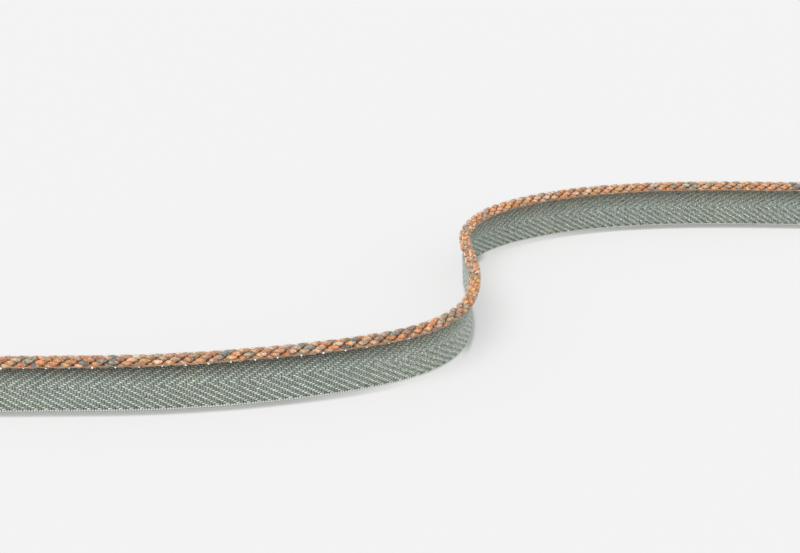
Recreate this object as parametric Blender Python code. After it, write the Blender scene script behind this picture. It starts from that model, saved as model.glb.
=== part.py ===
"""Flanged cord trim: a three-strand twisted cord along the top of a woven tape.

The cut length stands on the tape's lower edge and snakes through one S bend.
+X runs along the two outer stretches, +Y points to the far one, +Z is up and
the origin is on the floor, under the middle of the whole length.
"""
import bisect
import math
from collections import namedtuple

import bmesh
import bpy
from mathutils import Vector

MM = 0.001

# Driving dimensions
CORD_DIAMETER = 4.5 * MM
CORD_AXIS_HEIGHT = 19.0 * MM
CORD_LAY = 15.0 * MM
CORD_STRANDS = 3
TAPE_THICKNESS = 1.0 * MM
SEAM_GAP = 0.3 * MM
# The tape's top edge lies this far behind the cord's axis, to the left of the path.
TAPE_SETBACK = 0.8 * MM

# Fineness of the two lofts
CORD_STATIONS_PER_LAY = 11
CORD_POINTS_PER_STRAND = 4
TAPE_STATION_STEP = 3.0 * MM
TAPE_HEIGHT_ROWS = 4
PATH_STEP = 0.5 * MM

# The yarns fill the grooves between the strands up to this share of the cord's radius.
GROOVE_FLOOR = 0.74

# One row for each section of the S, from the left cut end to the right one.
# heading_deg turns anticlockwise from +X; toe_mm is how far the tape's foot
# lies to the left of the cord's axis, so a foot in front of it is negative.
Section = namedtuple("Section", "along_mm heading_deg toe_mm")
PATH = [
    Section(0, 1.0, -0.9),
    Section(15, 1.0, -0.9),
    Section(45, 1.0, -0.9),
    Section(75, 6.0, -1.0),
    Section(105, 10.5, -1.0),
    Section(130, 14.5, -0.6),
    Section(150, 22.5, 0.0),
    Section(165, 36.5, 0.3),
    Section(180, 57.0, 0.5),
    Section(195, 77.0, 0.5),
    Section(210, 87.0, 0.3),
    Section(225, 97.5, -0.2),
    Section(240, 92.5, -0.3),
    Section(255, 70.5, 0.5),
    Section(270, 50.0, 1.1),
    Section(285, 34.0, 1.0),
    Section(305, 22.5, 0.8),
    Section(330, 12.0, 0.9),
    Section(360, 4.0, 1.1),
    Section(390, -0.5, 1.3),
    Section(420, -2.5, 1.3),
    Section(435, -2.5, 1.3),
]

TAPE_COLOUR = (0.27, 0.31, 0.27, 1.0)
CORD_COLOUR = (0.46, 0.27, 0.16, 1.0)
CLOTH_ROUGHNESS = 0.9

Station = namedtuple("Station", "point along left toe")


def clear_scene():
    """Start from an empty scene."""
    for thing in list(bpy.data.objects):
        bpy.data.objects.remove(thing, do_unlink=True)


def cloth_material(name, colour):
    """A matt, non-metallic Principled material."""
    material = bpy.data.materials.new(name)
    material.use_nodes = True
    shader = material.node_tree.nodes["Principled BSDF"]
    shader.inputs["Base Color"].default_value = colour
    shader.inputs["Roughness"].default_value = CLOTH_ROUGHNESS
    shader.inputs["Metallic"].default_value = 0.0
    return material


def column_at(column, along):
    """Read one column of PATH at a distance along, on a smooth curve through its rows."""
    stops = [row.along_mm * MM for row in PATH]
    values = [getattr(row, column) for row in PATH]
    last = len(stops) - 1

    def slope(index):
        before = max(index - 1, 0)
        after = min(index + 1, last)
        return (values[after] - values[before]) / (stops[after] - stops[before])

    start = min(max(bisect.bisect_right(stops, along) - 1, 0), last - 1)
    span = stops[start + 1] - stops[start]
    share = (along - stops[start]) / span
    rise = share * share * (3.0 - 2.0 * share)
    leave = share * (1.0 - share) ** 2
    arrive = share * share * (share - 1.0)
    value = values[start] + (values[start + 1] - values[start]) * rise
    return value + span * (leave * slope(start) + arrive * slope(start + 1))


def walk_path():
    """Walk the cord's axis in plan, in PATH_STEP strides, and centre it on the origin."""
    length = PATH[-1].along_mm * MM
    strides = round(length / PATH_STEP)
    points = [Vector((0.0, 0.0, 0.0))]
    for stride in range(strides):
        heading = math.radians(column_at("heading_deg", (stride + 0.5) * PATH_STEP))
        points.append(points[-1] + Vector((math.cos(heading), math.sin(heading), 0.0)) * PATH_STEP)
    xs = [point.x for point in points]
    ys = [point.y for point in points]
    middle = Vector(((min(xs) + max(xs)) / 2.0, (min(ys) + max(ys)) / 2.0, 0.0))
    return [point - middle for point in points]


def stations(points, step):
    """Cut the path into even steps, each with its point, left-hand direction and toe."""
    length = PATH[-1].along_mm * MM
    count = max(1, round(length / step))
    result = []
    for index in range(count + 1):
        along = length * index / count
        heading = math.radians(column_at("heading_deg", along))
        stride = min(int(along / PATH_STEP), len(points) - 2)
        share = along / PATH_STEP - stride
        point = points[stride].lerp(points[stride + 1], share)
        along_x = math.cos(heading)
        along_y = math.sin(heading)
        left = Vector((-along_y, along_x, 0.0))
        result.append(Station(point, along, left, column_at("toe_mm", along) * MM))
    return result


def loft(name, rings, material, collection):
    """Join equal closed rings with quads and cap the two ends."""
    mesh = bpy.data.meshes.new(name)
    shape = bmesh.new()
    rows = [[shape.verts.new(point) for point in ring] for ring in rings]
    size = len(rows[0])
    for row, following in zip(rows, rows[1:]):
        for index in range(size):
            after = (index + 1) % size
            shape.faces.new((row[index], row[after], following[after], following[index]))
    shape.faces.new(list(reversed(rows[0])))
    shape.faces.new(rows[-1])
    bmesh.ops.recalc_face_normals(shape, faces=shape.faces)
    shape.to_mesh(mesh)
    shape.free()
    mesh.materials.append(material)
    piece = bpy.data.objects.new(name, mesh)
    collection.objects.link(piece)
    return piece


def strand_outline(angle):
    """The cord's radius at an angle from a strand's crest: round strands, filled grooves."""
    radius = CORD_DIAMETER / 2.0
    strand = radius / (1.0 + 1.0 / math.sin(math.pi / CORD_STRANDS))
    centre = radius - strand
    across = centre * math.sin(angle)
    reach = centre * math.cos(angle) + math.sqrt(max(strand ** 2 - across ** 2, 0.0))
    return max(reach, GROOVE_FLOOR * radius)


def cord_ring(station):
    """The three-lobed section, turned by the lay so that its crests climb away to the right."""
    size = CORD_STRANDS * CORD_POINTS_PER_STRAND
    strand_angle = 2.0 * math.pi / CORD_STRANDS
    twist = -2.0 * math.pi * station.along / CORD_LAY
    axis = station.point + Vector((0.0, 0.0, CORD_AXIS_HEIGHT))
    ring = []
    for index in range(size):
        angle = 2.0 * math.pi * index / size
        from_crest = (angle + strand_angle / 2.0) % strand_angle - strand_angle / 2.0
        radius = strand_outline(from_crest)
        sideways = station.left * (radius * math.cos(angle + twist))
        upwards = Vector((0.0, 0.0, radius * math.sin(angle + twist)))
        ring.append(axis + sideways + upwards)
    return ring


def make_cord(points, collection):
    """The twisted cord as one closed solid."""
    material = cloth_material("cord_yarn", CORD_COLOUR)
    step = CORD_LAY / CORD_STATIONS_PER_LAY
    rings = [cord_ring(station) for station in stations(points, step)]
    cord = loft("cord", rings, material, collection)
    cord.data.shade_smooth()
    return cord


def tape_ring(station):
    """The tape's upright section, up its right face and down its left one."""
    top = CORD_AXIS_HEIGHT - CORD_DIAMETER / 2.0 - SEAM_GAP
    right_face = []
    left_face = []
    for row in range(TAPE_HEIGHT_ROWS):
        share = row / (TAPE_HEIGHT_ROWS - 1)
        offset = station.toe + (TAPE_SETBACK - station.toe) * share
        height = Vector((0.0, 0.0, top * share))
        for face, side in ((right_face, -0.5), (left_face, 0.5)):
            face.append(station.point + station.left * (offset + side * TAPE_THICKNESS) + height)
    return right_face + list(reversed(left_face))


def make_tape(points, collection):
    """The woven tape as one closed sheet that stands on its lower edge."""
    material = cloth_material("tape_weave", TAPE_COLOUR)
    rings = [tape_ring(station) for station in stations(points, TAPE_STATION_STEP)]
    return loft("tape", rings, material, collection)


def main():
    """Build the trim in a collection of its own."""
    clear_scene()
    collection = bpy.data.collections.new("flanged_cord_trim")
    bpy.context.scene.collection.children.link(collection)
    points = walk_path()
    make_tape(points, collection)
    make_cord(points, collection)


main()
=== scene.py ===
"""Flanged cord trim in an S bend: every yarn of the tape and the cord, in the CAD frame."""
import math
from collections import namedtuple

import bpy
import numpy as np
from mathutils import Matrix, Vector


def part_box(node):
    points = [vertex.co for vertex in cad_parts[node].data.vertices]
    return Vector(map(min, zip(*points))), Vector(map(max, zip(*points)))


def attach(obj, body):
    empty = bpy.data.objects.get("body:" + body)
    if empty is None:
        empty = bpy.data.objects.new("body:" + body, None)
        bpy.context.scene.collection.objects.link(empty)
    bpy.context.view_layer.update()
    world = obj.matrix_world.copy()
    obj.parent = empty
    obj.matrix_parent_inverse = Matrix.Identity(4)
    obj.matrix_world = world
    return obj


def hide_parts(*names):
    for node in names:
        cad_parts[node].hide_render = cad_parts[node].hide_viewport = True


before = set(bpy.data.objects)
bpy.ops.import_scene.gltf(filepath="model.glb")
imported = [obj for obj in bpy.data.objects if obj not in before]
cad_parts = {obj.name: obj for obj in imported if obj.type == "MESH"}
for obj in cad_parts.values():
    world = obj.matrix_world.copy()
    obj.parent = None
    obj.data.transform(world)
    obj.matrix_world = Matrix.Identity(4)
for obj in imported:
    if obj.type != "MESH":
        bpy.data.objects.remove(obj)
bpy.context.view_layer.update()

MM = 0.001

# The cord's route, as the construction has it: one row for each section of the S.
Section = namedtuple("Section", "along_mm heading_deg toe_mm")
PATH = [
    Section(0, 1.0, -0.9),
    Section(15, 1.0, -0.9),
    Section(45, 1.0, -0.9),
    Section(75, 6.0, -1.0),
    Section(105, 10.5, -1.0),
    Section(130, 14.5, -0.6),
    Section(150, 22.5, 0.0),
    Section(165, 36.5, 0.3),
    Section(180, 57.0, 0.5),
    Section(195, 77.0, 0.5),
    Section(210, 87.0, 0.3),
    Section(225, 97.5, -0.2),
    Section(240, 92.5, -0.3),
    Section(255, 70.5, 0.5),
    Section(270, 50.0, 1.1),
    Section(285, 34.0, 1.0),
    Section(305, 22.5, 0.8),
    Section(330, 12.0, 0.9),
    Section(360, 4.0, 1.1),
    Section(390, -0.5, 1.3),
    Section(420, -2.5, 1.3),
    Section(435, -2.5, 1.3),
]
PATH_STEP = 0.25 * MM
# The tape's top lies this far to the left of the cord's axis.
TAPE_SETBACK = 0.8 * MM
LENGTH = PATH[-1].along_mm * MM

# The cord: strands laid one way, two plies in each strand twisted the other way.
STRANDS = 3
PLIES = 2
STRAND_LAY = 15.0 * MM
PLY_PERIOD = 3.24 * MM
CORD_RING_STEP = 0.335 * MM
# Each ply is a twist of singles, which show as lobes round it.
SINGLES = 3
POINTS_PER_SINGLE = 4
SINGLES_PERIOD = 4.6 * MM
LOBE_DEPTH = 0.12
PLY_SIDES = SINGLES * POINTS_PER_SINGLE
# Each ply is pressed to an oval against its partner; these are shares of a strand's radius.
PLY_OFFSET = 0.48
PLY_HALF_THICKNESS = 0.56
PLY_HALF_WIDTH = 0.67
# How far a strand's plies are turned from those of the strand before it, and how much and how
# fast they swell along the cord.
STRAND_TURN = 0.9
PLY_SWELL = 0.05
PLY_SWELL_PER_MM = 1.3
# The yarns stand a little proud of the cord's solid.
CORD_SWELL = 1.15

# The weave: ends run along the tape, picks cross it.
PICKS = 476
PICK_DRIFT_STEP = 12.0 * MM
PICK_DRIFT = 0.10 * MM
PICK_UNEVEN = 0.025 * MM
PICK_CLEAR_OF_CUT = 0.2 * MM
ENDS = 29
ENDS_BELOW_APEX = 14
TWILL_REPEAT = 4
# The picks turn below this height, and the weave ends behind the cord.
EDGE_LOOP_HEIGHT = 0.56 * MM
WEAVE_TOP = 17.6 * MM
YARN_SIDES = 6

# Sewing: where the stitches are along the cord, how uneven they are, and how thick.
STITCH_PITCH = 7.8 * MM
FIRST_STITCH = 14.9 * MM
STITCH_UNEVEN = 0.12 * MM
STITCH_RADIUS = 0.35 * MM
STITCH_SMALLEST = 0.70
STITCH_LARGEST = 0.94
STITCH_RINGS = 9
STITCH_SIDES = 8
# Each one slants a little along the cord, and bulges out from it half way.
STITCH_SLANT = 0.1 * MM
STITCH_REACH = 1.9 * MM
STITCH_BULGE = 0.5 * MM
STITCH_LEAN = 0.3
# Painted light: the thread glows this much, though it is no lamp.
THREAD_PAINTED_GLOW = 0.42
# A stitch shows between these angles round the cord, from straight down.
STITCH_FROM_DEG = 50.0
STITCH_TO_DEG = 67.0
# From the near bend on the stitches are pulled in further, and show less.
STITCH_SIZES = [(0.0, 1.0), (135.0 * MM, 1.0), (165.0 * MM, 0.65), (240.0 * MM, 0.6),
                (270.0 * MM, 0.35), (LENGTH, 0.35)]

# Through the middle stretch the yarns' foot lies back a little from the solid's middle.
FOOT_BACK = 0.6 * MM
FOOT_BACK_AT = 222.0 * MM
FOOT_BACK_SPREAD = 24.0 * MM

# The camera, set by the photograph: its focal length and shift are in that image's pixels.
CAMERA_PLACE = (-21.3 * MM, -443.8 * MM, 238.8 * MM)
CAMERA_DOWN_DEG = 27.0
CAMERA_FOCUS_PX = 1258.0
CAMERA_SHIFT_PX = 0.5
CAMERA_NEAREST = 10.0 * MM
IMAGE_WIDTH_PX = 800.0
SENSOR_WIDTH = 36.0

cord_low, cord_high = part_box("cord")
_, tape_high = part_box("tape")
CORD_RADIUS = (cord_high.z - cord_low.z) / 2.0
# The yarns' axis lies a little over the solid's.
YARN_AXIS_RAISE = 0.1 * MM
YARN_AXIS_HEIGHT = (cord_high.z + cord_low.z) / 2.0 + YARN_AXIS_RAISE
TAPE_TOP = tape_high.z

random = np.random.default_rng(7)


def srgb(red, green, blue):
    """A colour as the eye reads it, 0 to 255, in the linear values that shaders take."""
    shares = [channel / 255.0 for channel in (red, green, blue)]
    return [share / 12.92 if share <= 0.04045 else ((share + 0.055) / 1.055) ** 2.4
            for share in shares]


def smooth(share):
    """A share from 0 to 1 that leaves and arrives gently."""
    return share * share * (3.0 - 2.0 * share)


def column_at(column, along):
    """One column of PATH at many distances along, on a smooth curve through its rows."""
    stops = np.array([row.along_mm * MM for row in PATH])
    values = np.array([float(getattr(row, column)) for row in PATH])
    slopes = np.empty(len(stops))
    slopes[1:-1] = (values[2:] - values[:-2]) / (stops[2:] - stops[:-2])
    slopes[0] = (values[1] - values[0]) / (stops[1] - stops[0])
    slopes[-1] = (values[-1] - values[-2]) / (stops[-1] - stops[-2])
    start = np.clip(np.searchsorted(stops, along, side="right") - 1, 0, len(stops) - 2)
    span = stops[start + 1] - stops[start]
    share = (along - stops[start]) / span
    leave = share * (1.0 - share) ** 2
    arrive = share * share * (share - 1.0)
    value = values[start] + (values[start + 1] - values[start]) * smooth(share)
    return value + span * (leave * slopes[start] + arrive * slopes[start + 1])


def walk_path():
    """The cord's axis in plan: distances along, and points centred on the origin."""
    strides = round(LENGTH / PATH_STEP)
    middles = (np.arange(strides) + 0.5) * PATH_STEP
    heading = np.radians(column_at("heading_deg", middles))
    steps = np.stack([np.cos(heading), np.sin(heading)], axis=1) * PATH_STEP
    points = np.vstack([np.zeros((1, 2)), np.cumsum(steps, axis=0)])
    points -= (points.min(axis=0) + points.max(axis=0)) / 2.0
    return np.arange(strides + 1) * PATH_STEP, points


WALK_ALONG, WALK_POINTS = walk_path()


def on_path(along):
    """Points on the floor under the cord, with unit vectors forward and to the left."""
    along = np.asarray(along, float)
    x = np.interp(along, WALK_ALONG, WALK_POINTS[:, 0])
    y = np.interp(along, WALK_ALONG, WALK_POINTS[:, 1])
    heading = np.radians(column_at("heading_deg", np.clip(along, 0.0, LENGTH)))
    nothing = np.zeros_like(x)
    point = np.stack([x, y, nothing], axis=-1)
    forward = np.stack([np.cos(heading), np.sin(heading), nothing], axis=-1)
    left = np.stack([-np.sin(heading), np.cos(heading), nothing], axis=-1)
    return point, forward, left


UP = np.array([0.0, 0.0, 1.0])


def on_tape(along, height, lift):
    """Points on the tape's middle surface, raised by lift towards its left face."""
    point, _, left = on_path(along)
    toe = column_at("toe_mm", np.clip(along, 0.0, LENGTH)) * MM
    foot = np.exp(-((along - FOOT_BACK_AT) / FOOT_BACK_SPREAD) ** 2) * FOOT_BACK
    offset = toe + foot + (TAPE_SETBACK - toe - foot) * height / TAPE_TOP + lift
    return point + left * offset[..., None] + UP * np.asarray(height)[..., None]


def ellipse(half_width, half_thickness, points):
    """A closed outline as pairs (across, over)."""
    angles = 2.0 * math.pi * np.arange(points) / points
    return np.stack([half_width * np.cos(angles), half_thickness * np.sin(angles)], axis=1)


def sweep(centres, across, over, outline):
    """Rings of points round many tubes' centrelines: arrays tube, ring, point, xyz."""
    sides = across[:, :, None, :] * outline[..., 0:1]
    return centres[:, :, None, :] + sides + over[:, :, None, :] * outline[..., 1:2]


def add_piece(name, mesh, material):
    """A smooth piece of the trim, on its one body."""
    mesh.shade_smooth()
    mesh.materials.append(material)
    piece = bpy.data.objects.new(name, mesh)
    bpy.context.scene.collection.objects.link(piece)
    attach(piece, "root")
    return piece


def tubes(name, rings, run, material, tint=None):
    """Join rings into closed tubes, with a UV map of distance run and share round."""
    tube_count, ring_count, side_count, _ = rings.shape
    index = np.arange(tube_count * ring_count * side_count)
    index = index.reshape(tube_count, ring_count, side_count)
    around = np.roll(index, -1, axis=2)
    quads = np.stack([index[:, :-1], around[:, :-1], around[:, 1:], index[:, 1:]], axis=-1)
    quads = quads.reshape(-1)
    first_caps = index[:, 0, ::-1].reshape(-1)
    last_caps = index[:, -1, :].reshape(-1)
    loops = np.concatenate([quads, first_caps, last_caps])
    quad_starts = np.arange(len(quads) // 4) * 4
    cap_starts = len(quads) + np.arange(2 * tube_count) * side_count
    starts = np.concatenate([quad_starts, cap_starts])

    mesh = bpy.data.meshes.new(name)
    mesh.vertices.add(index.size)
    mesh.vertices.foreach_set("co", rings.reshape(-1).astype(np.float32))
    mesh.loops.add(len(loops))
    mesh.loops.foreach_set("vertex_index", loops.astype(np.int32))
    mesh.polygons.add(len(starts))
    mesh.polygons.foreach_set("loop_start", starts.astype(np.int32))
    mesh.update(calc_edges=True)

    distance = np.broadcast_to(run[:, :, None], index.shape)
    share = np.arange(side_count) / side_count
    here = np.stack([distance, np.broadcast_to(share, index.shape)], axis=-1)
    share_next = (np.arange(side_count) + 1.0) / side_count
    beyond = np.stack([distance, np.broadcast_to(share_next, index.shape)], axis=-1)
    corners = np.stack([here[:, :-1], beyond[:, :-1], beyond[:, 1:], here[:, 1:]], axis=3)
    parts = [corners, here[:, 0, ::-1], here[:, -1]]
    layer = mesh.uv_layers.new(name="Yarn")
    uv = np.concatenate([part.reshape(-1) for part in parts])
    layer.data.foreach_set("uv", uv.astype(np.float32))

    if tint is not None:
        colours = np.ones((index.size, 4), np.float32)
        colours[:, :3] = tint.reshape(-1, 3)
        attribute = mesh.color_attributes.new("Tint", "FLOAT_COLOR", "POINT")
        attribute.data.foreach_set("color", colours.reshape(-1))
    return add_piece(name, mesh, material)


def run_along(centres):
    """The distance run along each tube's centreline, starting at 0."""
    steps = np.linalg.norm(np.diff(centres, axis=1), axis=2)
    return np.concatenate([np.zeros((len(centres), 1)), np.cumsum(steps, axis=1)], axis=1)


def unit(vectors):
    """Vectors made one long."""
    return vectors / np.linalg.norm(vectors, axis=-1, keepdims=True)


def crosswise(centres, guide):
    """Unit vectors across each tube: the guide made square to the centreline, and its partner."""
    ahead = unit(np.gradient(centres, axis=1))
    across = unit(guide - ahead * np.sum(guide * ahead, axis=-1, keepdims=True))
    return across, np.cross(ahead, across)


def new_material(name):
    """A material, its node tree and its shader."""
    material = bpy.data.materials.new(name)
    material.use_nodes = True
    tree = material.node_tree
    return material, tree, tree.nodes["Principled BSDF"]


def add_node(tree, kind, **settings):
    """A node: the values of its sockets by name in inputs, its other settings as words."""
    node = tree.nodes.new(kind)
    for key, value in settings.pop("inputs", {}).items():
        node.inputs[key].default_value = value
    for key, value in settings.items():
        setattr(node, key, value)
    return node


# How many streaks of fibre lie round a yarn, over two pi, and how long they are.
STREAKS_ROUND = 3.0
STREAK_LENGTH = 0.9 * MM
STREAK_DETAIL = 3.0
STREAK_ROUGHNESS = 0.65
# Patches of lighter and darker colour, in cells to the metre.
PATCHES_PER_METRE = 900.0
PATCH_DETAIL = 2.0
STREAKS_OVER_PATCHES = 0.6
# What the plied lines add to the relief and to the brightness of the streaks.
TWIST_RELIEF = 0.5
TWIST_SHADE = 0.06
RELIEF_HEIGHT = 0.05 * MM
# Noise between these two values spans the mottle, from darkest to palest.
NOISE_DARKEST = 0.35
NOISE_PALEST = 0.65
SHEEN_ROUGHNESS = 0.5
YARN_SPECULAR = 0.3


def yarn_material(name, colour=None, twist_pitch=1.2 * MM, twist_lines=2.0, bump=0.5,
                  mottle=0.25, roughness=0.8, sheen=0.25):
    """Yarn: fine plied lines that wind round it, fibres and a mottled colour."""
    material, tree, shader = new_material(name)
    link = tree.links.new
    uv = add_node(tree, "ShaderNodeUVMap", uv_map="Yarn")
    split = add_node(tree, "ShaderNodeSeparateXYZ")
    link(uv.outputs["UV"], split.inputs["Vector"])
    turns = add_node(tree, "ShaderNodeMath", operation="DIVIDE")
    turns.inputs[1].default_value = twist_pitch
    link(split.outputs["X"], turns.inputs[0])
    around = add_node(tree, "ShaderNodeMath", operation="ADD")
    link(turns.outputs[0], around.inputs[0])
    link(split.outputs["Y"], around.inputs[1])
    phase = add_node(tree, "ShaderNodeMath", operation="MULTIPLY")
    phase.inputs[1].default_value = 2.0 * math.pi * twist_lines
    link(around.outputs[0], phase.inputs[0])
    wave = add_node(tree, "ShaderNodeMath", operation="SINE")
    link(phase.outputs[0], wave.inputs[0])

    # Streaks: noise on a cylinder that turns with the twist, drawn out along the yarn.
    turned = add_node(tree, "ShaderNodeMath", operation="MULTIPLY")
    turned.inputs[1].default_value = 2.0 * math.pi
    link(around.outputs[0], turned.inputs[0])
    circle = add_node(tree, "ShaderNodeCombineXYZ")
    for operation, socket in (("COSINE", "X"), ("SINE", "Y")):
        part = add_node(tree, "ShaderNodeMath", operation=operation)
        link(turned.outputs[0], part.inputs[0])
        wide = add_node(tree, "ShaderNodeMath", operation="MULTIPLY")
        wide.inputs[1].default_value = STREAKS_ROUND
        link(part.outputs[0], wide.inputs[0])
        link(wide.outputs[0], circle.inputs[socket])
    drawn = add_node(tree, "ShaderNodeMath", operation="DIVIDE")
    drawn.inputs[1].default_value = STREAK_LENGTH
    link(split.outputs["X"], drawn.inputs[0])
    link(drawn.outputs[0], circle.inputs["Z"])
    place = add_node(tree, "ShaderNodeTexCoord")
    fibres = add_node(tree, "ShaderNodeTexNoise",
                      inputs={"Scale": 1.0, "Detail": STREAK_DETAIL,
                              "Roughness": STREAK_ROUGHNESS})
    link(circle.outputs["Vector"], fibres.inputs["Vector"])
    patches = add_node(tree, "ShaderNodeTexNoise",
                       inputs={"Scale": PATCHES_PER_METRE, "Detail": PATCH_DETAIL})
    link(place.outputs["Object"], patches.inputs["Vector"])

    relief = add_node(tree, "ShaderNodeMath", operation="MULTIPLY_ADD")
    relief.inputs[1].default_value = TWIST_RELIEF
    link(wave.outputs[0], relief.inputs[0])
    link(fibres.outputs["Fac"], relief.inputs[2])
    bumps = add_node(tree, "ShaderNodeBump",
                     inputs={"Strength": bump, "Distance": RELIEF_HEIGHT})
    link(relief.outputs[0], bumps.inputs["Height"])
    link(bumps.outputs["Normal"], shader.inputs["Normal"])

    mixed = add_node(tree, "ShaderNodeMix", inputs={"Factor": STREAKS_OVER_PATCHES})
    link(patches.outputs["Fac"], mixed.inputs["A"])
    link(fibres.outputs["Fac"], mixed.inputs["B"])
    shades = add_node(tree, "ShaderNodeMath", operation="MULTIPLY_ADD")
    shades.inputs[1].default_value = TWIST_SHADE
    link(wave.outputs[0], shades.inputs[0])
    link(mixed.outputs["Result"], shades.inputs[2])
    brightness = add_node(tree, "ShaderNodeMapRange",
                          inputs={"From Min": NOISE_DARKEST, "From Max": NOISE_PALEST,
                                  "To Min": 1.0 - mottle, "To Max": 1.0 + mottle})
    link(shades.outputs[0], brightness.inputs["Value"])
    mixer = add_node(tree, "ShaderNodeVectorMath", operation="SCALE")
    if colour is None:
        tint = add_node(tree, "ShaderNodeVertexColor", layer_name="Tint")
        link(tint.outputs["Color"], mixer.inputs[0])
    else:
        mixer.inputs[0].default_value = colour
    link(brightness.outputs["Result"], mixer.inputs["Scale"])
    link(mixer.outputs["Vector"], shader.inputs["Base Color"])
    shader.inputs["Roughness"].default_value = roughness
    shader.inputs["Sheen Weight"].default_value = sheen
    shader.inputs["Sheen Roughness"].default_value = SHEEN_ROUGHNESS
    shader.inputs["Specular IOR Level"].default_value = YARN_SPECULAR
    return material


def twill(pick, end):
    """How far an end is over its picks, from -1 to 1: a 2/2 twill that turns at the apex."""
    end_from_apex = np.abs(end - ENDS_BELOW_APEX)
    return np.sin(2.0 * math.pi * (pick - end_from_apex + 0.5) / TWILL_REPEAT)


def place_picks():
    """Where the picks lie along the tape: even, but for a slow drift and a little unevenness."""
    even = (np.arange(PICKS) + 0.5) * LENGTH / PICKS
    stops = np.arange(0.0, LENGTH + PICK_DRIFT_STEP, PICK_DRIFT_STEP)
    drift = np.interp(even, stops, random.normal(0.0, PICK_DRIFT, len(stops)))
    return even + drift + random.normal(0.0, PICK_UNEVEN, PICKS)


PICK_PLACES = place_picks()


def along_of_pick(pick):
    """The distance along the tape of any place counted in picks, from cut end to cut end."""
    counts = np.concatenate([[-0.5], np.arange(PICKS), [PICKS - 0.5]])
    inside = np.clip(PICK_PLACES, PICK_CLEAR_OF_CUT, LENGTH - PICK_CLEAR_OF_CUT)
    places = np.concatenate([[0.0], inside, [LENGTH]])
    return np.interp(pick, counts, places)


def end_height(end):
    """The height of an end's middle above the floor."""
    return EDGE_LOOP_HEIGHT + (WEAVE_TOP - EDGE_LOOP_HEIGHT) * (end + 0.5) / ENDS


# At the lower edge the picks turn back: two rows, thicker, pale and a little forward.
EDGE_ROWS = 2
EDGE_TURN_SWELL = 2.4
EDGE_TURN_WIDTH = 1.05
EDGE_TURN_COLOUR = srgb(216, 222, 210)
EDGE_TURN_FORWARD = 0.28 * MM
# Their heights start at a share of EDGE_LOOP_HEIGHT and rise by another; the lowest is slimmer.
EDGE_TURN_START = 0.04
EDGE_TURN_RISE = 0.5
LOWEST_TURN_SIZE = 0.8
LOWEST = 0.02 * MM
# How far the ends lift off the tape's middle, their size, and how far a float climbs.
WARP_LIFT = 0.18 * MM
WARP_HALF_THICKNESS = 0.18 * MM
WARP_HALF_WIDTH = 0.31 * MM
WARP_CLIMB = 0.10 * MM
# An end wanders up and down by this much, in a wave over picks and from end to end.
END_WANDER = 0.03 * MM
WANDER_PER_PICK = 0.11
WANDER_PER_END = 1.7
# Above the apex the floats lean the other way, and less.
CLIMB_ABOVE_APEX = -0.6
# Where an end is behind the picks it stays closer to the middle, so the back is flatter.
WARP_BACK_LIFT = 0.5
# A float's painted highlight is towards its left end, by this many picks, a third as pale after.
PALE_END = 0.2
FLOAT_REST = 0.33
# The sides of a yarn get painted shade, and each float has its own brightness.
SIDE_SHADE = 0.5
FLOAT_SPREAD = 0.12
FLOAT_RINGS = 4
# A point lies on the front or the back if its outline faces that way by more than this.
FACING_LEAST = 0.1
# Towards the lower edge the weave has more contrast.
CRISP_BELOW = 9.0 * MM
CRISP_ENDS = 0.10
CRISP_PICKS = -0.22
# The row just above the turns is darker.
EDGE_ROW_SHADE = 0.5
# The picks' lift and size, and how far they lean along the tape.
WEFT_LIFT = 0.16 * MM
WEFT_HALF_THICKNESS = 0.15 * MM
WEFT_HALF_WIDTH = 0.36 * MM
PICK_LEAN = 0.05 * MM
LEAN_PER_END = 0.9
LEAN_PER_PICK = 2.1
# Colours of floats, pale as painted highlight, and of hollows, dark as painted shade, how
# sharply one turns into the other, and how much whole yarns differ.
WARP_PALE = srgb(230, 239, 226)
WARP_DARK = srgb(58, 67, 60)
WARP_POWER = 6.0
WARP_SPREAD = 0.04
WEFT_PALE = srgb(169, 180, 168)
WEFT_DARK = srgb(50, 58, 52)
WEFT_POWER = 1.4
WEFT_SPREAD = 0.06
# Past the near bend the weave looks calmer: what is left of its contrast, by distance along,
# and what is left of that above the apex. Yarns calm towards these shares of their paleness.
CONTRAST_ALONG = [(0.0, 1.0), (125.0 * MM, 1.0), (155.0 * MM, 0.45), (200.0 * MM, 0.35),
                  (250.0 * MM, 0.35), (290.0 * MM, 0.52), (LENGTH, 0.58)]
CONTRAST_ABOVE_APEX = [(0.0, 1.0), (125.0 * MM, 1.0), (155.0 * MM, 0.75), (LENGTH, 0.6)]
WARP_REST = 0.42
WEFT_REST = 0.53
# Painted light: the paleness that yarns calm towards is raised past the near bend, most in it.
REST_LIGHT_ALONG = [(0.0, 1.0), (125.0 * MM, 1.0), (155.0 * MM, 1.33), (205.0 * MM, 1.33),
              (290.0 * MM, 1.1), (LENGTH, 1.05)]
# Past the near bend the yarns differ more from place to place.
GRAIN_ALONG = [(0.0, 0.0), (125.0 * MM, 0.0), (155.0 * MM, 0.34), (LENGTH, 0.34)]
GRAIN_LIMITS = (0.4, 1.8)
# Through the middle stretch the yarns lie flatter: what is left of their relief there, and how
# much wider the picks are for it.
RELIEF_LEFT = [(0.0, 1.0), (172.0 * MM, 1.0), (192.0 * MM, 0.12), (248.0 * MM, 0.12),
               (262.0 * MM, 1.0), (LENGTH, 1.0)]
PRESSED_WIDER = 0.35
# A slow change of hue: its strength, and its waves as radians to the mm along and up, and a start.
HUE_DRIFT = 0.04
HUE_WAVES = [(0.31, 0.23, 0.0), (0.083, 0.0, 1.0), (0.53, -0.41, 2.0)]
# The back looks flatter: a paleness of its own for each kind of yarn, one for the sides, and
# little between its pale and its dark places.
WARP_BACK = 0.40
WEFT_BACK = 0.84
SIDE_LEVEL = 0.58
BACK_CONTRAST = 0.18
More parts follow.
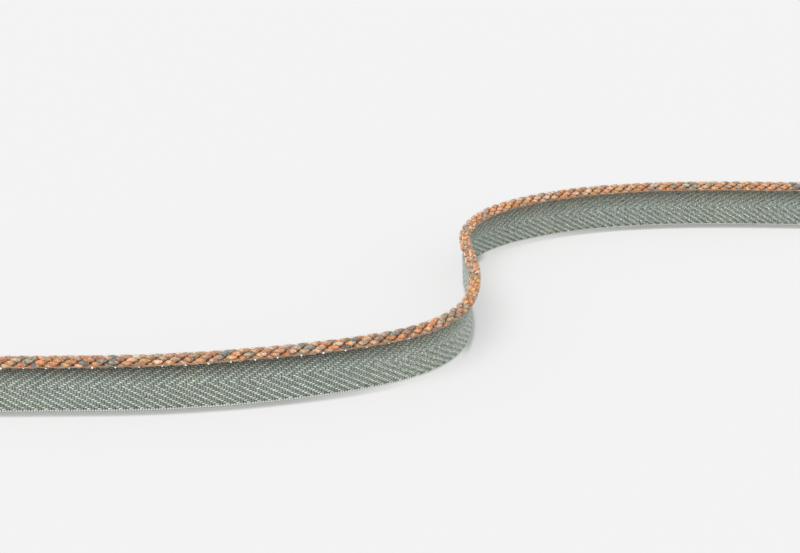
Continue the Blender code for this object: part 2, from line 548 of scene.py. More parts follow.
# Painted shade of the cord: under it the yarns are darker, and browner with painted light
# thrown back by the cord, from this height up to it. Past the near bend this is softer and
# starts lower.
CORD_SHADE_FROM = 11.0 * MM
CORD_SHADE_FROM_FAR = 9.5 * MM
CORD_SHADE_AT_CORD = (0.40, 0.36, 0.32)
CORD_SHADE_AT_CORD_FAR = (0.66, 0.61, 0.55)
CORD_SHADE_BECOMES_FAR = [(0.0, 0.0), (130.0 * MM, 0.0), (200.0 * MM, 1.0), (LENGTH, 1.0)]


def painted_cord_shade(along, height):
    """Painted shade: how the tape darkens towards the cord, for yarn points at these places."""
    far = np.interp(along, *zip(*CORD_SHADE_BECOMES_FAR))
    start = CORD_SHADE_FROM + (CORD_SHADE_FROM_FAR - CORD_SHADE_FROM) * far
    share = np.clip((height - start) / (TAPE_TOP - start), 0.0, 1.0)[..., None]
    near_cord = np.array(CORD_SHADE_AT_CORD)
    at_cord = near_cord + (np.array(CORD_SHADE_AT_CORD_FAR) - near_cord) * far[..., None]
    return 1.0 + (at_cord - 1.0) * share


def crisp(height, amount):
    """A factor that grows or falls by amount from CRISP_BELOW down to the lower edge."""
    return 1.0 + amount * np.clip(1.0 - height / CRISP_BELOW, 0.0, 1.0)[..., None, None]


def calm(along, upper):
    """How much of the weave's contrast is left along the tape, above the apex or below."""
    below_apex = np.interp(along, *zip(*CONTRAST_ALONG))
    above_apex = below_apex * np.interp(along, *zip(*CONTRAST_ABOVE_APEX))
    return np.where(upper, above_apex, below_apex)


def hue_drift(along, height):
    """A slow change of hue over the tape, between a little bluer and a little more olive."""
    ripple = sum(np.sin(along / MM * lengthwise + height / MM * upward + start)
                 for lengthwise, upward, start in HUE_WAVES)
    towards_red = np.array([1.0, 0.0, -1.0])
    return 1.0 + HUE_DRIFT * ripple[..., None] / len(HUE_WAVES) * towards_red


def rest_with_painted_light(along, rest):
    """The paleness that yarns calm towards, raised a little as painted light in the bend."""
    return rest * np.interp(along, *zip(*REST_LIGHT_ALONG))


def shade_yarn(front_over, palest, facing, dark, pale, power, spread, contrast, rest, back,
               along):
    """Tints of a woven yarn: painted highlight where it floats on the face that a point looks to.

    front_over and palest are waves from -1 to 1, facing says how far a point of the outline
    looks to the front, and contrast and rest are shares for every ring.
    """
    contrast = contrast[:, :, None]
    # Painted light: a highlight where the yarn floats, shade where it dips and on its sides.
    in_front = (1.0 + front_over[:, :, None]) / 2.0
    behind = back + contrast * BACK_CONTRAST * (1.0 - in_front) ** power
    peak = ((1.0 + palest[:, :, None]) / 2.0) ** power
    in_front = np.maximum(peak, FLOAT_REST * in_front)
    in_front = rest[:, :, None] + (in_front - rest[:, :, None]) * contrast
    relief = np.interp(along, *zip(*RELIEF_LEFT))[:, :, None]
    side_shade = SIDE_SHADE + (1.0 - SIDE_SHADE) * (1.0 - relief)
    beside = side_shade * np.maximum(in_front, SIDE_LEVEL)
    exposed = np.where(facing > FACING_LEAST, in_front,
                       np.where(facing < -FACING_LEAST, behind, beside))
    yarns, rings = front_over.shape
    own = 1.0 + spread * random.standard_normal((yarns, 1, 1))
    floats = random.standard_normal((yarns, rings // FLOAT_RINGS + 1))
    floats = floats.repeat(FLOAT_RINGS, axis=1)[:, :rings]
    own = own * (1.0 + FLOAT_SPREAD * contrast * floats[:, :, None])
    grain = np.interp(along, *zip(*GRAIN_ALONG))[:, :, None]
    noise = random.standard_normal((yarns, rings, 1))
    noise = noise - (np.roll(noise, 1, axis=1) + np.roll(noise, -1, axis=1)) / 2.0
    own = own * np.clip(1.0 + grain * noise, *GRAIN_LIMITS)
    tone = np.array(dark) + (np.array(pale) - np.array(dark)) * exposed[..., None]
    return tone * own[..., None]


def weave_ends(name, first, last, material):
    """The ends from first up to last: yarns along the tape that float over two picks in four."""
    ends = np.arange(first, last)
    rings = 2 * PICKS + 1
    pick = np.broadcast_to(np.arange(rings) / 2.0 - 0.5, (len(ends), rings))
    end = ends[:, None].repeat(rings, axis=1)
    along = along_of_pick(pick)
    wave = twill(pick, end)
    lean = np.where(end < ENDS_BELOW_APEX, 1.0, CLIMB_ABOVE_APEX)
    climb = WARP_CLIMB * lean * twill(pick - 1.0 + PALE_END, end)
    wander = END_WANDER * np.sin(pick * WANDER_PER_PICK + end * WANDER_PER_END)
    contrast = calm(along, end >= ENDS_BELOW_APEX)
    relief = np.interp(along, *zip(*RELIEF_LEFT))
    lift = -WARP_LIFT * np.where(wave > 0.0, wave * np.sqrt(contrast),
                                 wave * WARP_BACK_LIFT * relief)
    centres = on_tape(along, end_height(end) + wander + climb, lift)
    across, over = crosswise(centres, np.broadcast_to(UP, centres.shape))
    outline = ellipse(WARP_HALF_WIDTH, WARP_HALF_THICKNESS, YARN_SIDES)
    facing = outline[:, 1] / WARP_HALF_THICKNESS
    palest = twill(pick + PALE_END, end)
    tint = shade_yarn(wave, palest, facing, WARP_DARK, WARP_PALE, WARP_POWER, WARP_SPREAD,
                      contrast, rest_with_painted_light(along, WARP_REST), WARP_BACK, along)
    height = end_height(end)
    tint = tint * painted_cord_shade(along, height)[:, :, None, :] * crisp(height, CRISP_ENDS)
    tint = tint * hue_drift(along, height)[:, :, None, :]
    return tubes(name, sweep(centres, across, over, outline), run_along(centres),
                 material, tint)


def weave_picks(name, material):
    """The picks: yarns across the tape, each with a round turn at the lower edge."""
    rows = np.arange(-EDGE_ROWS, ENDS)
    pick = np.arange(PICKS)[:, None].repeat(len(rows), axis=1)
    end = np.broadcast_to(rows, pick.shape)
    turn_height = EDGE_LOOP_HEIGHT * (EDGE_TURN_START + EDGE_TURN_RISE * (end + EDGE_ROWS))
    height = np.where(end < 0, turn_height, end_height(end))
    wave = np.where(end < 0, 0.0, twill(pick, np.maximum(end, 0)))
    lean = PICK_LEAN * np.sin(end * LEAN_PER_END + pick * LEAN_PER_PICK)
    along = along_of_pick(pick) + lean
    relief = np.interp(along, *zip(*RELIEF_LEFT))
    lift = WEFT_LIFT * wave * relief
    lift = np.where(end < 0, EDGE_TURN_FORWARD * end, lift)
    centres = on_tape(along, height, lift)
    _, forward, _ = on_path(along)
    across, over = crosswise(centres, forward)
    outline = ellipse(WEFT_HALF_WIDTH, WEFT_HALF_THICKNESS, YARN_SIDES)
    facing = -outline[:, 1] / WEFT_HALF_THICKNESS
    outline = np.broadcast_to(outline, (*pick.shape, YARN_SIDES, 2)).copy()
    outline[..., 0] *= (1.0 + PRESSED_WIDER * (1.0 - relief))[..., None]
    outline[:, :EDGE_ROWS, :, 1] *= EDGE_TURN_SWELL
    outline[:, :EDGE_ROWS, :, 0] *= EDGE_TURN_WIDTH
    outline[:, 0] *= LOWEST_TURN_SIZE
    rings = sweep(centres, across, over, outline)
    rings[..., 2] = np.maximum(rings[..., 2], LOWEST)
    tint = shade_yarn(-wave, -wave, facing, WEFT_DARK, WEFT_PALE, WEFT_POWER, WEFT_SPREAD,
                      calm(along, end >= ENDS_BELOW_APEX), rest_with_painted_light(along, WEFT_REST),
                      WEFT_BACK, along)
    tint = tint * crisp(height, CRISP_PICKS) * hue_drift(along, height)[:, :, None, :]
    tint[:, EDGE_ROWS] *= EDGE_ROW_SHADE
    tint[:, :EDGE_ROWS] = np.array(EDGE_TURN_COLOUR)
    tint = tint * painted_cord_shade(along, height)[:, :, None, :]
    return tubes(name, rings, run_along(centres), material, tint)


# A sheet behind the yarns, dark as painted shade in the weave's gaps: its points along and up,
# and what its edges keep clear.
SHEET_COLUMNS = 291
SHEET_ROWS = 9
SHEET_CLEAR_OF_CUT = 0.5 * MM
SHEET_CLEAR_OF_FLOOR = 0.1 * MM
SHEET_DARK = srgb(66, 76, 68)
SHEET_PALE = srgb(96, 108, 98)
SHEET_GRAINS_PER_METRE = 2500.0
SHEET_ROUGHNESS = 0.95


def gap_shade_sheet(name, material):
    """A thin sheet that the yarns lie on, through the tape's middle: painted shade in the gaps."""
    columns = SHEET_COLUMNS
    rows = SHEET_ROWS
    along = np.linspace(SHEET_CLEAR_OF_CUT, LENGTH - SHEET_CLEAR_OF_CUT, columns)
    along = along[:, None].repeat(rows, axis=1)
    height = np.linspace(SHEET_CLEAR_OF_FLOOR, WEAVE_TOP, rows)
    height = height[None, :].repeat(columns, axis=0)
    points = on_tape(along, height, np.zeros_like(along)).reshape(-1, 3)
    index = np.arange(columns * rows).reshape(columns, rows)
    faces = np.stack([index[:-1, :-1], index[1:, :-1], index[1:, 1:], index[:-1, 1:]], axis=-1)
    mesh = bpy.data.meshes.new(name)
    mesh.from_pydata(points.tolist(), [], faces.reshape(-1, 4).tolist())
    return add_piece(name, mesh, material)


def gap_shade_material():
    """Painted shade: the dark sheet seen in the gaps between the yarns."""
    material, tree, shader = new_material("tape_gap_shade")
    place = add_node(tree, "ShaderNodeTexCoord")
    grain = add_node(tree, "ShaderNodeTexNoise",
                     inputs={"Scale": SHEET_GRAINS_PER_METRE, "Detail": PATCH_DETAIL})
    tree.links.new(place.outputs["Object"], grain.inputs["Vector"])
    ramp = add_node(tree, "ShaderNodeValToRGB")
    ramp.color_ramp.elements[0].color = (*SHEET_DARK, 1.0)
    ramp.color_ramp.elements[1].color = (*SHEET_PALE, 1.0)
    tree.links.new(grain.outputs["Fac"], ramp.inputs["Fac"])
    tree.links.new(ramp.outputs["Color"], shader.inputs["Base Color"])
    shader.inputs["Roughness"].default_value = SHEET_ROUGHNESS
    return material


# The cord's yarn colours: orange, amber, rust and peach; slate, grey, olive and sand.
WARM = [srgb(226, 152, 98), srgb(230, 170, 102), srgb(214, 138, 90), srgb(228, 182, 146)]
COOL = [srgb(126, 128, 126), srgb(150, 148, 138), srgb(160, 146, 114), srgb(210, 194, 166)]
YARN_COLOURS = np.array(WARM + COOL)
# Runs of one family along a ply, how much their brightness differs, and the singles' within
# them, of which some are mixed with a stray colour.
RUN_SHORTEST = 3.0 * MM
RUN_LONGEST = 8.0 * MM
RUN_DARKEST = 0.86
RUN_PALEST = 1.16
SINGLE_DARKEST = 0.78
SINGLE_PALEST = 1.18
STRAY_SINGLES = 0.5
STRAY_SHARE = 0.6
# The mood that chooses between the families: a beat along the cord, a drift, and a lean to warm.
MOOD_LENGTH = 9.4 * MM
MOOD_DRIFT = 0.8
MOOD_WARMTH = 0.9
MOOD_UNEVEN = 0.4
# Slow changes along the cord are set at stops this far apart.
STOP_STEP = 6.0 * MM
STOPS_PAST_END = 20.0 * MM
# The core: a yarn in the cord's middle, dark brown as painted shade for the gaps between strands.
CORE_RADIUS = 1.3 * MM
CORE_SHADE_COLOUR = srgb(92, 66, 50)
CORE_RINGS = 220
CORE_SIDES = 12
# The core and the seam's yarn end this far inside the cut ends.
INNER_CLEAR_OF_CUT = 0.5 * MM
# Places round the cord are angles from straight down, towards the front.
SEAM_YARN_ANGLE = math.radians(68.0)
SEAM_YARN_FROM_AXIS = 2.2 * MM
SEAM_YARN_RADIUS = 0.27 * MM
SEAM_YARN_RINGS = 900
SEAM_YARN_SINK = 0.22 * MM
SEAM_YARN_THINNEST = 0.85
SEAM_YARN_THICKEST = 1.1
SEAM_YARN_PEACH = srgb(192, 147, 113)
SEAM_YARN_GREY = srgb(136, 128, 116)
# Fuzz: where the fibres start round the cord, as angles from its left side over its top, and
# how much they rise and curl. They are pale, with a share of a yarn's colour.
FUZZ_FIBRES = 4600
FUZZ_RADIUS = 0.05 * MM
FUZZ_RINGS = 4
FUZZ_SIDES = 3
FUZZ_FROM = -0.25 * math.pi
FUZZ_TO = 1.25 * math.pi
FUZZ_SHORTEST = 0.4 * MM
FUZZ_LONGEST = 1.2 * MM
FUZZ_RISE_LEAST = 0.05
FUZZ_RISE_MOST = 0.6
FUZZ_STEEP_AT_ROOT = 1.25
FUZZ_LEVELS_BY = 0.6
FUZZ_CURL = 0.5
FUZZ_ROOT = 0.97
FUZZ_TAPER = 0.6
FUZZ_PALE = srgb(250, 236, 214)
FUZZ_PALE_SHARE = 0.65
# The strands are pressed round: past PRESSED_FROM from the axis a point comes closer, by a
# curve that levels off PRESSED_DEPTH further out. Painted shade darkens the grooves down to
# GROOVE_DEPTH.
PRESSED_FROM = 2.0 * MM
PRESSED_DEPTH = 0.33 * MM
GROOVE_DEPTH = 1.3 * MM
GROOVE_SHADE = 0.72
# Blocks of rings that share a brightness, and how much these differ, by distance along.
FLECK_RINGS = 3
FLECK_LIMITS = (0.4, 1.9)
FLECKS_ALONG = [(0.0, 0.06), (180.0 * MM, 0.06), (205.0 * MM, 0.40), (255.0 * MM, 0.40),
                (280.0 * MM, 0.08), (LENGTH, 0.08)]
# Painted sheen: towards its top the cord is mixed towards a grey, a painted reflection of the
# surround, from one height over its axis to another.
TOP_SHEEN_FROM = 1.0 * MM
TOP_SHEEN_TO = 2.2 * MM
TOP_SHEEN_ALONG = [(0.0, 0.30), (180.0 * MM, 0.24), (205.0 * MM, 0.08), (255.0 * MM, 0.08),
              (280.0 * MM, 0.26), (LENGTH, 0.26)]
TOP_SHEEN_COLOUR = srgb(134, 138, 140)
# Painted shade: below this much under its axis the cord darkens, down to a share of its colour.
UNDERSIDE_FROM = 0.4 * MM
UNDERSIDE_TO = 1.7 * MM
UNDERSIDE_SHADE = 0.42

STOPS = np.arange(0.0, LENGTH + STOPS_PAST_END, STOP_STEP)


def mood_of_yarn():
    """Where the yarns of all strands lean to warm, above 0, or cool: values at WALK_ALONG."""
    beat = np.cos(2.0 * math.pi * WALK_ALONG / MOOD_LENGTH)
    drift = np.interp(WALK_ALONG, STOPS, random.normal(0.0, MOOD_DRIFT, len(STOPS)))
    return beat + drift + MOOD_WARMTH


YARN_MOOD = mood_of_yarn()


def ply_colours(rings, along):
    """Colours of the singles of one ply: runs of warm and cool yarn along it."""
    colours = np.zeros((rings, SINGLES, 3))
    place = random.uniform(-RUN_SHORTEST, 0.0)
    while place < LENGTH:
        run = random.uniform(RUN_SHORTEST, RUN_LONGEST)
        mood = np.interp(place + run / 2.0, WALK_ALONG, YARN_MOOD)
        warm = mood + random.normal(0.0, MOOD_UNEVEN) > 0.0
        family = WARM if warm else COOL
        main = np.array(family[random.integers(len(family))])
        main = main * random.uniform(RUN_DARKEST, RUN_PALEST)
        inside = (along >= place) & (along < place + run)
        for single in range(SINGLES):
            colour = main * random.uniform(SINGLE_DARKEST, SINGLE_PALEST)
            if random.random() < STRAY_SINGLES:
                stray = YARN_COLOURS[random.integers(len(YARN_COLOURS))]
                colour = (1.0 - STRAY_SHARE) * colour + STRAY_SHARE * stray
            colours[inside, single] = colour
        place += run
    return colours


def flecks(along):
    """Factors that make the plies' surface uneven, most through the middle stretch."""
    rows = len(along) // FLECK_RINGS + 1
    noise = random.standard_normal((PLIES, rows, PLY_SIDES // 2))
    noise = noise.repeat(FLECK_RINGS, axis=1)[:, :len(along)].repeat(2, axis=2)
    strength = np.interp(along, *zip(*FLECKS_ALONG))[None, :, None]
    return np.clip(1.0 + strength * noise, *FLECK_LIMITS)


def singles_outline(along):
    """For rings along a twist of singles: the angle of each point round it, and its lobes."""
    points = 2.0 * math.pi * np.arange(PLY_SIDES) / PLY_SIDES
    twist = 2.0 * math.pi * along / SINGLES_PERIOD
    lobes = 1.0 - LOBE_DEPTH * (1.0 - np.abs(np.cos(SINGLES * points / 2.0)))
    return points[None, :] + twist[:, None], lobes[None, :]


def cord_strand(strand, material):
    """One strand of the cord: its plies, each a twist of singles."""
    rings = int(LENGTH / CORD_RING_STEP)
    along = np.linspace(0.0, LENGTH, rings)
    point, _, left = on_path(along)
    axis = point + UP * YARN_AXIS_HEIGHT
    cord_radius = CORD_RADIUS * CORD_SWELL
    strand_radius = cord_radius / (1.0 + 1.0 / math.sin(math.pi / STRANDS))
    strand_offset = cord_radius - strand_radius
    ply_offset = strand_radius * PLY_OFFSET

    angle = -2.0 * math.pi * along / STRAND_LAY + 2.0 * math.pi * strand / STRANDS
    outward = left * np.cos(angle)[:, None] + UP * np.sin(angle)[:, None]
    sideways = -left * np.sin(angle)[:, None] + UP * np.cos(angle)[:, None]
    middle = axis + outward * strand_offset

    centres = np.empty((PLIES, rings, 3))
    guides = np.empty((PLIES, rings, 3))
    outlines = np.empty((PLIES, rings, PLY_SIDES, 2))
    tint = np.empty((PLIES, rings, PLY_SIDES, 3))
    around, lobes = singles_outline(along)
    thick = strand_radius * PLY_HALF_THICKNESS
    wide = strand_radius * PLY_HALF_WIDTH
    oval = thick * wide / np.hypot(wide * np.cos(around), thick * np.sin(around))
    single = (np.arange(PLY_SIDES) + POINTS_PER_SINGLE // 2) // POINTS_PER_SINGLE % SINGLES
    for ply in range(PLIES):
        turn = 2.0 * math.pi * along / PLY_PERIOD + math.pi * ply + strand * STRAND_TURN
        away = outward * np.cos(turn)[:, None] + sideways * np.sin(turn)[:, None]
        swell = 1.0 + PLY_SWELL * np.sin(along / MM * PLY_SWELL_PER_MM + ply * 2.0 + strand)
        centres[ply] = middle + away * ply_offset
        guides[ply] = away
        radius = oval * swell[:, None] * lobes
        outlines[ply] = np.stack([radius * np.cos(around), radius * np.sin(around)], axis=-1)
        tint[ply] = ply_colours(rings, along)[:, single]
    across, over = crosswise(centres, guides)
    surface = sweep(centres, across, over, outlines)

    out = surface - axis[None, :, None, :]
    reach = np.linalg.norm(out, axis=-1)
    levelled = PRESSED_FROM + PRESSED_DEPTH * np.tanh((reach - PRESSED_FROM) / PRESSED_DEPTH)
    pressed = np.where(reach > PRESSED_FROM, levelled, reach)
    surface = axis[None, :, None, :] + out * (pressed / reach)[..., None]

    # Painted shade in the grooves and under the cord, and a painted sheen towards its top.
    depth = np.clip((pressed - GROOVE_DEPTH) / (PRESSED_FROM - GROOVE_DEPTH), 0.0, 1.0)
    shade = GROOVE_SHADE + (1.0 - GROOVE_SHADE) * smooth(depth)
    over_axis = surface[..., 2] - YARN_AXIS_HEIGHT
    below = np.clip((-over_axis - UNDERSIDE_FROM) / (UNDERSIDE_TO - UNDERSIDE_FROM), 0.0, 1.0)
    shade = shade * (1.0 - (1.0 - UNDERSIDE_SHADE) * below)
    tint = tint * flecks(along)[..., None]
    above = np.clip((over_axis - TOP_SHEEN_FROM) / (TOP_SHEEN_TO - TOP_SHEEN_FROM), 0.0, 1.0)
    painted_sheen = (np.interp(along, *zip(*TOP_SHEEN_ALONG))[None, :, None] * above)[..., None]
    tint = tint * (1.0 - painted_sheen) + np.array(TOP_SHEEN_COLOUR) * painted_sheen
    return tubes(f"cord_strand_{strand + 1}", surface, run_along(centres), material,
                 tint * shade[..., None])


def cord_shade_core(name, material):
    """A core yarn, seen only through gaps between the strands, dark as painted shade in them."""
    along = np.linspace(INNER_CLEAR_OF_CUT, LENGTH - INNER_CLEAR_OF_CUT, CORE_RINGS)[None, :]
    point, _, left = on_path(along)
    centres = point + UP * YARN_AXIS_HEIGHT
    across, over = crosswise(centres, left)
    outline = ellipse(CORE_RADIUS, CORE_RADIUS, CORE_SIDES)
    tint = np.broadcast_to(np.array(CORE_SHADE_COLOUR), (1, CORE_RINGS, CORE_SIDES, 3))
    return tubes(name, sweep(centres, across, over, outline), run_along(centres), material,
                 tint)


def fuzz(name, material):
    """Short stray fibres that lie out from the cord's yarns."""
    share = np.linspace(0.0, 1.0, FUZZ_RINGS)[None, :]
    along = random.uniform(MM, LENGTH - MM, FUZZ_FIBRES)
    point, forward, left = on_path(along)
    axis = point + UP * YARN_AXIS_HEIGHT
    angle = random.uniform(FUZZ_FROM, FUZZ_TO, FUZZ_FIBRES)
    out = left * np.cos(angle)[:, None] + UP * np.sin(angle)[:, None]
    aside = -left * np.sin(angle)[:, None] + UP * np.cos(angle)[:, None]
    bearing = random.uniform(0.0, 2.0 * math.pi, FUZZ_FIBRES)
    lie = forward * np.cos(bearing)[:, None] + aside * np.sin(bearing)[:, None]
    length = random.uniform(FUZZ_SHORTEST, FUZZ_LONGEST, (FUZZ_FIBRES, 1))
    rise = random.uniform(FUZZ_RISE_LEAST, FUZZ_RISE_MOST, (FUZZ_FIBRES, 1))
    curl = random.uniform(-FUZZ_CURL, FUZZ_CURL, (FUZZ_FIBRES, 1)) * share * share
    sideways = np.cross(out, lie)
    root = axis + out * (CORD_RADIUS * FUZZ_ROOT)
    run = (length * share)[..., None]
    bow = FUZZ_STEEP_AT_ROOT - FUZZ_LEVELS_BY * share
    lift = (length * rise * share * bow)[..., None]
    centres = (root[:, None] + lie[:, None] * run + out[:, None] * lift
               + sideways[:, None] * (length * curl)[..., None])
    across, over = crosswise(centres, np.broadcast_to(sideways[:, None], centres.shape))
    outline = ellipse(FUZZ_RADIUS, FUZZ_RADIUS, FUZZ_SIDES)
    taper = (1.0 - FUZZ_TAPER * share)[..., None, None]
    outline = np.broadcast_to(outline * taper, (FUZZ_FIBRES, FUZZ_RINGS, FUZZ_SIDES, 2))
    tint = YARN_COLOURS[random.integers(len(YARN_COLOURS), size=FUZZ_FIBRES)]
    tint = tint * (1.0 - FUZZ_PALE_SHARE) + np.array(FUZZ_PALE) * FUZZ_PALE_SHARE
    tint = np.broadcast_to(tint[:, None, None, :], (FUZZ_FIBRES, FUZZ_RINGS, FUZZ_SIDES, 3))
    return tubes(name, sweep(centres, across, over, outline), run_along(centres), material,
                 tint)


def seam_yarn(name, material):
    """The yarn that lies along the cord's lower front edge, above the stitches."""
    along = np.linspace(INNER_CLEAR_OF_CUT, LENGTH - INNER_CLEAR_OF_CUT, SEAM_YARN_RINGS)
    sink = np.interp(along, STOPS, random.uniform(0.0, SEAM_YARN_SINK, len(STOPS)))[:, None]
    swell = random.uniform(SEAM_YARN_THINNEST, SEAM_YARN_THICKEST, len(STOPS))
    swell = np.interp(along, STOPS, swell)
    point, _, left = on_path(along)
    axis = point + UP * YARN_AXIS_HEIGHT
    towards = -left * math.sin(SEAM_YARN_ANGLE) - UP * math.cos(SEAM_YARN_ANGLE)
    centres = axis + towards * (SEAM_YARN_FROM_AXIS - sink)
    across, over = crosswise(centres[None], left[None])
    around, lobes = singles_outline(along)
    radius = SEAM_YARN_RADIUS * swell[:, None] * lobes
    outline = np.stack([radius * np.cos(around), radius * np.sin(around)], axis=-1)
    grey = np.interp(along, STOPS, random.uniform(0.0, 1.0, len(STOPS)))[:, None]
    colour = np.array(SEAM_YARN_PEACH) * (1.0 - grey) + np.array(SEAM_YARN_GREY) * grey
    tint = np.broadcast_to(colour[None, :, None, :], (1, SEAM_YARN_RINGS, PLY_SIDES, 3))
    return tubes(name, sweep(centres[None], across, over, outline[None]),
                 run_along(centres[None]), material, tint)


def stitches(name, material):
    """The sewing: short loops of pale thread over the seam, on each face."""
    count = int((LENGTH - FIRST_STITCH) / STITCH_PITCH) + 2
    places = FIRST_STITCH - STITCH_PITCH + STITCH_PITCH * np.arange(count)
    places = np.clip(places + random.normal(0.0, STITCH_UNEVEN, count), MM, LENGTH - MM)
    places = np.concatenate([places, places])
    side = np.repeat([-1.0, 1.0], count)[:, None]
    size = random.uniform(STITCH_SMALLEST, STITCH_LARGEST, 2 * count)
    size[:count] *= np.interp(places[:count], *zip(*STITCH_SIZES))
    size = size[:, None, None, None]
    share = np.linspace(0.0, 1.0, STITCH_RINGS)
    share = np.broadcast_to(share, (2 * count, STITCH_RINGS))
    along = places[:, None] + (share - 0.5) * STITCH_SLANT
    point, _, left = on_path(along)
    bulge = np.sin(math.pi * share)
    angle = np.radians(STITCH_FROM_DEG + (STITCH_TO_DEG - STITCH_FROM_DEG) * share)
    reach = STITCH_REACH + STITCH_BULGE * bulge * size[:, :, 0, 0]
    offset = side * reach * np.sin(angle)
    height = YARN_AXIS_HEIGHT - reach * np.cos(angle)
    centres = point + left * offset[..., None] + UP * height[..., None]
    across, over = crosswise(centres, unit(left * STITCH_LEAN + UP))
    outline = ellipse(STITCH_RADIUS, STITCH_RADIUS, STITCH_SIDES)[None, None] * size
    return tubes(name, sweep(centres, across, over, outline), run_along(centres),
                 material)


def thread_material():
    """Pale sewing thread, with a painted glow for its glints and the light through it."""
    material = yarn_material("sewing_thread", colour=srgb(252, 252, 249), twist_pitch=0.5 * MM,
                             mottle=0.03, roughness=0.4, sheen=0.0)
    shader = material.node_tree.nodes["Principled BSDF"]
    shader.inputs["Emission Color"].default_value = (1.0, 1.0, 1.0, 1.0)
    shader.inputs["Emission Strength"].default_value = THREAD_PAINTED_GLOW
    return material


def make_trim():
    """All the pieces of the trim, each in place of its solid."""
    tape_yarn = yarn_material("tape_yarn", twist_pitch=0.9 * MM, bump=0.4, mottle=0.12)
    lower = weave_ends("tape_ends_lower", 0, ENDS_BELOW_APEX, tape_yarn)
    upper = weave_ends("tape_ends_upper", ENDS_BELOW_APEX, ENDS, tape_yarn)
    picks = weave_picks("tape_picks", tape_yarn)
    gap_shade = gap_shade_sheet("tape_gap_shade", gap_shade_material())
    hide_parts("tape")
    cord_yarn = yarn_material("cord_yarn", twist_pitch=1.5 * MM, twist_lines=5.0, bump=0.6,
                              mottle=0.5, roughness=0.85, sheen=0.3)
    strands = [cord_strand(strand, cord_yarn) for strand in range(STRANDS)]
    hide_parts("cord")
    cord_shade_core("cord_shade_core", cord_yarn)
    seam_yarn("cord_seam_yarn", cord_yarn)
    fuzz("cord_fuzz", cord_yarn)
    stitches("seam_stitches", thread_material())


# The floor: its corners in metres, well off the part, its colour and its glow.
FLOOR_CORNERS = [(-40.0, -30.0, 0.0), (40.0, -30.0, 0.0), (40.0, 50.0, 0.0), (-40.0, 50.0, 0.0)]
FLOOR_GREY = (0.36, 0.36, 0.36, 1.0)
FLOOR_ROUGHNESS = 0.9
FLOOR_SPECULAR = 0.1
FLOOR_GLOW = 0.46
# Painted shade at the tape's foot, darkening the floor's glow: how far the floor looks for the
# tape, up and away from the camera. The less open that side is, the darker the shade, between
# these two limits.
SHADE_REACH = 8.0 * MM
SHADE_TOWARDS = {"X": -0.1, "Y": 0.68, "Z": 0.72}
SHADE_SAMPLES = 28
SHADE_FULL_AT = 0.54
SHADE_NONE_AT = 0.62
SHADE_DARKEST = 0.13
# It shows along the outer stretches and beside the middle one, and fades in the bends: its
# strength from left to right over the floor.
SHADE_SPAN = 200.0 * MM
SHADE_ACROSS = [(-60.0 * MM, 1.0), (-36.0 * MM, 0.55), (-20.0 * MM, 0.1), (2.0 * MM, 0.0),
                (5.0 * MM, 1.0), (11.0 * MM, 1.0), (16.0 * MM, 0.0), (42.0 * MM, 0.3),
                (62.0 * MM, 0.7), (88.0 * MM, 1.0)]


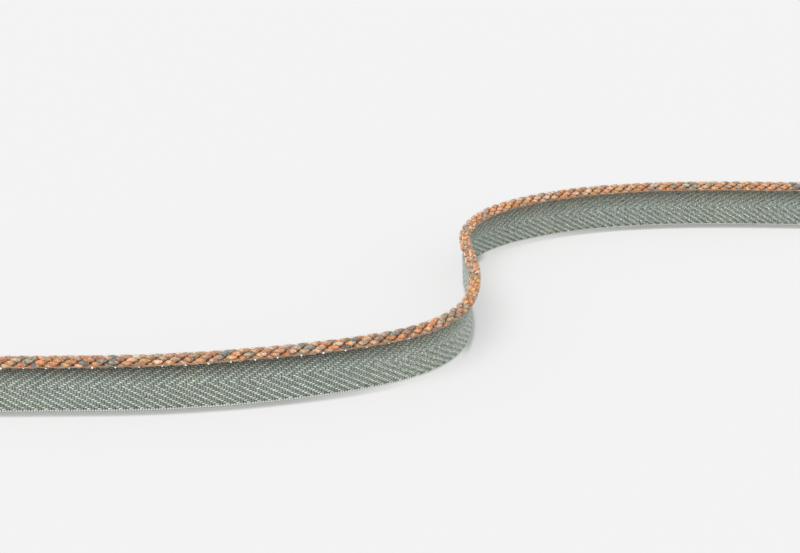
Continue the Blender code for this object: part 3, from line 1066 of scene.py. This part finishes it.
def make_floor():
    """A plain pale floor with a slight glow of its own, which keeps the shadows soft."""
    mesh = bpy.data.meshes.new("floor")
    mesh.from_pydata(FLOOR_CORNERS, [], [(0, 1, 2, 3)])
    material, tree, shader = new_material("floor")
    # Painted shade: the floor's glow darkens where the tape closes it in.
    contact = add_node(tree, "ShaderNodeAmbientOcclusion", samples=SHADE_SAMPLES,
                       inputs={"Distance": SHADE_REACH})
    open_side = add_node(tree, "ShaderNodeCombineXYZ", inputs=SHADE_TOWARDS)
    tree.links.new(open_side.outputs["Vector"], contact.inputs["Normal"])
    soften = add_node(tree, "ShaderNodeMapRange", interpolation_type="SMOOTHSTEP",
                      inputs={"From Min": SHADE_FULL_AT, "From Max": SHADE_NONE_AT,
                              "To Min": SHADE_DARKEST, "To Max": 1.0})
    tree.links.new(contact.outputs["AO"], soften.inputs["Value"])
    place = add_node(tree, "ShaderNodeTexCoord")
    split = add_node(tree, "ShaderNodeSeparateXYZ")
    tree.links.new(place.outputs["Object"], split.inputs["Vector"])
    across = add_node(tree, "ShaderNodeMapRange",
                      inputs={"From Min": -SHADE_SPAN, "From Max": SHADE_SPAN})
    tree.links.new(split.outputs["X"], across.inputs["Value"])
    strength = add_node(tree, "ShaderNodeValToRGB")
    stops = strength.color_ramp.elements
    for x, _ in SHADE_ACROSS[len(stops):]:
        stops.new((x + SHADE_SPAN) / (2.0 * SHADE_SPAN))
    for stop, (x, level) in zip(stops, SHADE_ACROSS):
        stop.position = (x + SHADE_SPAN) / (2.0 * SHADE_SPAN)
        stop.color = (level, level, level, 1.0)
    tree.links.new(across.outputs["Result"], strength.inputs["Fac"])
    shade = add_node(tree, "ShaderNodeMix", inputs={"A": 1.0})
    tree.links.new(strength.outputs["Color"], shade.inputs["Factor"])
    tree.links.new(soften.outputs["Result"], shade.inputs["B"])
    tree.links.new(shade.outputs["Result"], shader.inputs["Emission Color"])
    shader.inputs["Base Color"].default_value = FLOOR_GREY
    shader.inputs["Roughness"].default_value = FLOOR_ROUGHNESS
    shader.inputs["Specular IOR Level"].default_value = FLOOR_SPECULAR
    shader.inputs["Emission Strength"].default_value = FLOOR_GLOW
    mesh.materials.append(material)
    floor = bpy.data.objects.new("floor", mesh)
    bpy.context.scene.collection.objects.link(floor)


# Lamps far away: towards points from the trim to the lamp.
Lamp = namedtuple("Lamp", "name towards spread_deg strength")
LAMPS = [
    Lamp("key", (-0.45, -0.42, 1.1), 45.0, 1.9),
    Lamp("left_fill", (-0.95, -0.1, 0.4), 110.0, 0.8),
    Lamp("right_fill", (0.9, -0.6, 0.5), 120.0, 1.3),
]
SURROUND_STRENGTH = 0.36


def make_light():
    """Soft studio light: an even surround, a lamp over the left shoulder and a fill each side."""
    world = bpy.data.worlds.new("studio")
    world.use_nodes = True
    background = world.node_tree.nodes["Background"]
    background.inputs["Color"].default_value = (1.0, 1.0, 1.0, 1.0)
    background.inputs["Strength"].default_value = SURROUND_STRENGTH
    bpy.context.scene.world = world
    for row in LAMPS:
        light = bpy.data.lights.new(row.name, "SUN")
        light.angle = math.radians(row.spread_deg)
        light.energy = row.strength
        lamp = bpy.data.objects.new(row.name, light)
        lamp.rotation_euler = Vector(row.towards).to_track_quat("Z", "Y").to_euler()
        bpy.context.scene.collection.objects.link(lamp)
    bpy.context.scene.view_settings.view_transform = "Standard"


def make_camera():
    """The camera at the photograph's angle, looking along +Y and down."""
    data = bpy.data.cameras.new("camera")
    data.sensor_width = SENSOR_WIDTH
    data.lens = CAMERA_FOCUS_PX / IMAGE_WIDTH_PX * SENSOR_WIDTH
    data.clip_start = CAMERA_NEAREST
    data.shift_x = -CAMERA_SHIFT_PX / IMAGE_WIDTH_PX
    data.shift_y = CAMERA_SHIFT_PX / IMAGE_WIDTH_PX
    camera = bpy.data.objects.new("camera", data)
    camera.location = CAMERA_PLACE
    camera.rotation_euler = (math.radians(90.0 - CAMERA_DOWN_DEG), 0.0, 0.0)
    bpy.context.scene.collection.objects.link(camera)
    bpy.context.scene.camera = camera


make_camera()
make_floor()
make_light()
make_trim()
